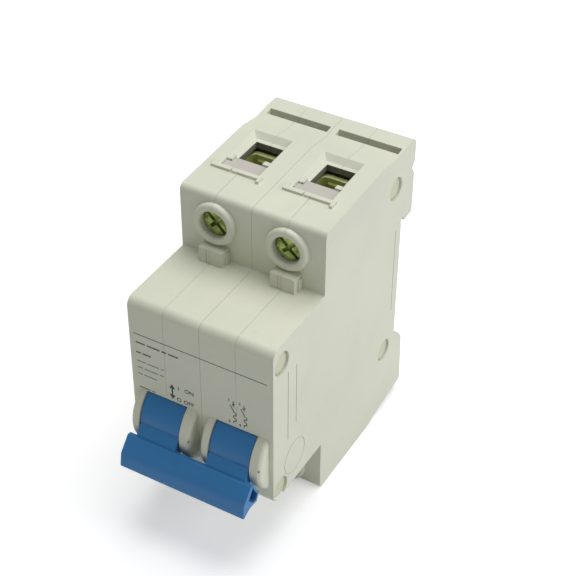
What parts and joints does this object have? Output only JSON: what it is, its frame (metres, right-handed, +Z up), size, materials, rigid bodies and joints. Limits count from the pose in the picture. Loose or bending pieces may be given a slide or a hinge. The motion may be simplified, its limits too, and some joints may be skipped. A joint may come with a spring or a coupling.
{
  "type": "miniature circuit breaker",
  "caption": "Two-pole modular circuit breaker for a 35 mm rail, with tied blue toggles, clamp terminals, arc chamber, coil and thermal trip, and sprung rail clips.",
  "frame": {"origin": "on the rail seat face, midway between the two poles, at mid-height of the 45 mm front nose", "axes": "+X right seen from the front, -Y out of the front, +Y into the rail, +Z up as mounted"},
  "size_m": [0.0366, 0.0749, 0.0774],
  "materials": {
    "housing_thermoset": "moulded, satin",
    "toggle_plastic": "moulded blue, semi-gloss",
    "spring_wire": "drawn wire",
    "bobbin_plastic": "moulded",
    "soft_iron": "zinc plated",
    "copper": "bare copper",
    "contact_silver": "silver alloy",
    "arc_steel": "plated",
    "fibre_board": "vulcanised fibre",
    "bimetal": "rolled strip",
    "guard_plastic": "moulded, pinkish grey",
    "rivet_metal": "painted over",
    "yellow_zinc": "yellow passivated zinc",
    "clip_plastic": "moulded",
    "pin_steel": "ground",
    "lever_plastic": "moulded"
  },
  "bodies": {
    "housing": {"base_shell_left": "housing_thermoset", "cover_shell_left": "housing_thermoset", "coil_left": "copper", "coil_bobbin_left": "bobbin_plastic", "plunger_spring_left": "spring_wire", "yoke_left": "soft_iron", "fixed_contact_bar_left": "copper", "arc_plates_left": "arc_steel", "bimetal_left": "bimetal", "braid_left": "copper", "line_terminal_left": "copper", "load_terminal_left": "copper", "clip_spring_left": "spring_wire", "contact_spring_left": "spring_wire", "base_shell_right": "housing_thermoset", "cover_shell_right": "housing_thermoset", "coil_right": "copper", "coil_bobbin_right": "bobbin_plastic", "plunger_spring_right": "spring_wire", "yoke_right": "soft_iron", "fixed_contact_bar_right": "copper", "arc_plates_right": "arc_steel", "bimetal_right": "bimetal", "braid_right": "copper", "line_terminal_right": "copper", "load_terminal_right": "copper", "clip_spring_right": "spring_wire", "contact_spring_right": "spring_wire", "housing_rivets": "rivet_metal", "handle_springs": "spring_wire", "pivot_pins": "pin_steel", "coil_cores": "soft_iron", "fixed_contact_pads": "contact_silver", "arc_runners": "arc_steel", "arc_sides": "fibre_board", "wire_guards": "guard_plastic"},
    "handle": {"handle_left": "toggle_plastic", "handle_right": "toggle_plastic", "handle_tie_bar": "toggle_plastic"},
    "handle_link_left": {"handle_link_left": "pin_steel"},
    "contact_arm_left": {"contact_arm_left": "copper", "moving_contact_left": "contact_silver"},
    "plunger_left": {"plunger_left": "soft_iron"},
    "trip_lever_left": {"trip_lever_left": "lever_plastic"},
    "rail_clip_left": {"rail_clip_left": "clip_plastic"},
    "line_screw_left": {"line_screw_left": "yellow_zinc"},
    "line_cage_left": {"line_cage_left": "yellow_zinc"},
    "load_screw_left": {"load_screw_left": "yellow_zinc"},
    "load_cage_left": {"load_cage_left": "yellow_zinc"},
    "handle_link_right": {"handle_link_right": "pin_steel"},
    "contact_arm_right": {"contact_arm_right": "copper", "moving_contact_right": "contact_silver"},
    "plunger_right": {"plunger_right": "soft_iron"},
    "trip_lever_right": {"trip_lever_right": "lever_plastic"},
    "rail_clip_right": {"rail_clip_right": "clip_plastic"},
    "line_screw_right": {"line_screw_right": "yellow_zinc"},
    "line_cage_right": {"line_cage_right": "yellow_zinc"},
    "load_screw_right": {"load_screw_right": "yellow_zinc"},
    "load_cage_right": {"load_cage_right": "yellow_zinc"}
  },
  "joints": [
    {"name": "handle_swing", "type": "hinge", "parent": "housing", "child": "handle", "pos_m": [0, -0.0547, -0.0103], "axis": [-1, 0, 0], "range_deg": [0, 48], "deforming": ["handle_springs"]},
    {"name": "link_left_turn", "type": "hinge", "parent": "handle", "child": "handle_link_left", "pos_m": [-0.00915, -0.05264, -0.00785], "axis": [1, 0, 0], "range_deg": [0, 53]},
    {"name": "contact_left_close", "type": "hinge", "parent": "housing", "child": "contact_arm_left", "pos_m": [-0.00915, -0.033, -0.003], "axis": [1, 0, 0], "range_deg": [0, 16.1], "deforming": ["contact_spring_left", "braid_left"]},
    {"name": "plunger_left_strike", "type": "slide", "parent": "housing", "child": "plunger_left", "axis": [0, -1, 0], "range_m": [0, 0.0022], "stiffness_N_per_m": 60, "deforming": ["plunger_spring_left"]},
    {"name": "trip_left_turn", "type": "hinge", "parent": "housing", "child": "trip_lever_left", "pos_m": [-0.00915, -0.024, 0.002], "axis": [1, 0, 0], "range_deg": [0, 13.4]},
    {"name": "clip_left_release", "type": "slide", "parent": "housing", "child": "rail_clip_left", "axis": [0, 0, -1], "range_m": [0, 0.004], "stiffness_N_per_m": 1500, "deforming": ["clip_spring_left"]},
    {"name": "line_screw_left_turn", "type": "hinge", "parent": "housing", "child": "line_screw_left", "pos_m": [-0.00915, -0.036, 0.032], "axis": [0, 1, 0], "range_deg": [0, 2341]},
    {"name": "line_cage_left_lift", "type": "slide", "parent": "housing", "child": "line_cage_left", "axis": [0, -1, 0], "range_m": [0, 0.0052]},
    {"name": "load_screw_left_turn", "type": "hinge", "parent": "housing", "child": "load_screw_left", "pos_m": [-0.00915, -0.036, -0.032], "axis": [0, 1, 0], "range_deg": [0, 2341]},
    {"name": "load_cage_left_lift", "type": "slide", "parent": "housing", "child": "load_cage_left", "axis": [0, -1, 0], "range_m": [0, 0.0052]},
    {"name": "link_right_turn", "type": "hinge", "parent": "handle", "child": "handle_link_right", "pos_m": [0.00915, -0.05264, -0.00785], "axis": [1, 0, 0], "range_deg": [0, 53]},
    {"name": "contact_right_close", "type": "hinge", "parent": "housing", "child": "contact_arm_right", "pos_m": [0.00915, -0.033, -0.003], "axis": [1, 0, 0], "range_deg": [0, 16.1], "deforming": ["contact_spring_right", "braid_right"]},
    {"name": "plunger_right_strike", "type": "slide", "parent": "housing", "child": "plunger_right", "axis": [0, -1, 0], "range_m": [0, 0.0022], "stiffness_N_per_m": 60, "deforming": ["plunger_spring_right"]},
    {"name": "trip_right_turn", "type": "hinge", "parent": "housing", "child": "trip_lever_right", "pos_m": [0.00915, -0.024, 0.002], "axis": [1, 0, 0], "range_deg": [0, 13.4]},
    {"name": "clip_right_release", "type": "slide", "parent": "housing", "child": "rail_clip_right", "axis": [0, 0, -1], "range_m": [0, 0.004], "stiffness_N_per_m": 1500, "deforming": ["clip_spring_right"]},
    {"name": "line_screw_right_turn", "type": "hinge", "parent": "housing", "child": "line_screw_right", "pos_m": [0.00915, -0.036, 0.032], "axis": [0, 1, 0], "range_deg": [0, 2341]},
    {"name": "line_cage_right_lift", "type": "slide", "parent": "housing", "child": "line_cage_right", "axis": [0, -1, 0], "range_m": [0, 0.0052]},
    {"name": "load_screw_right_turn", "type": "hinge", "parent": "housing", "child": "load_screw_right", "pos_m": [0.00915, -0.036, -0.032], "axis": [0, 1, 0], "range_deg": [0, 2341]},
    {"name": "load_cage_right_lift", "type": "slide", "parent": "housing", "child": "load_cage_right", "axis": [0, -1, 0], "range_m": [0, 0.0052]}
  ],
  "couplings": [
    {"joint": "link_left_turn", "follows": "handle_swing", "ratio": 1.0947},
    {"joint": "contact_left_close", "follows": "handle_swing", "ratio": 0.33333},
    {"joint": "trip_left_turn", "follows": "plunger_left_strike", "rad_per_m": 105},
    {"joint": "line_screw_left_turn", "follows": "line_cage_left_lift", "rad_per_m": 7854},
    {"joint": "load_screw_left_turn", "follows": "load_cage_left_lift", "rad_per_m": 7854},
    {"joint": "link_right_turn", "follows": "handle_swing", "ratio": 1.0947},
    {"joint": "contact_right_close", "follows": "handle_swing", "ratio": 0.33333},
    {"joint": "trip_right_turn", "follows": "plunger_right_strike", "rad_per_m": 105},
    {"joint": "line_screw_right_turn", "follows": "line_cage_right_lift", "rad_per_m": 7854},
    {"joint": "load_screw_right_turn", "follows": "load_cage_right_lift", "rad_per_m": 7854}
  ]
}
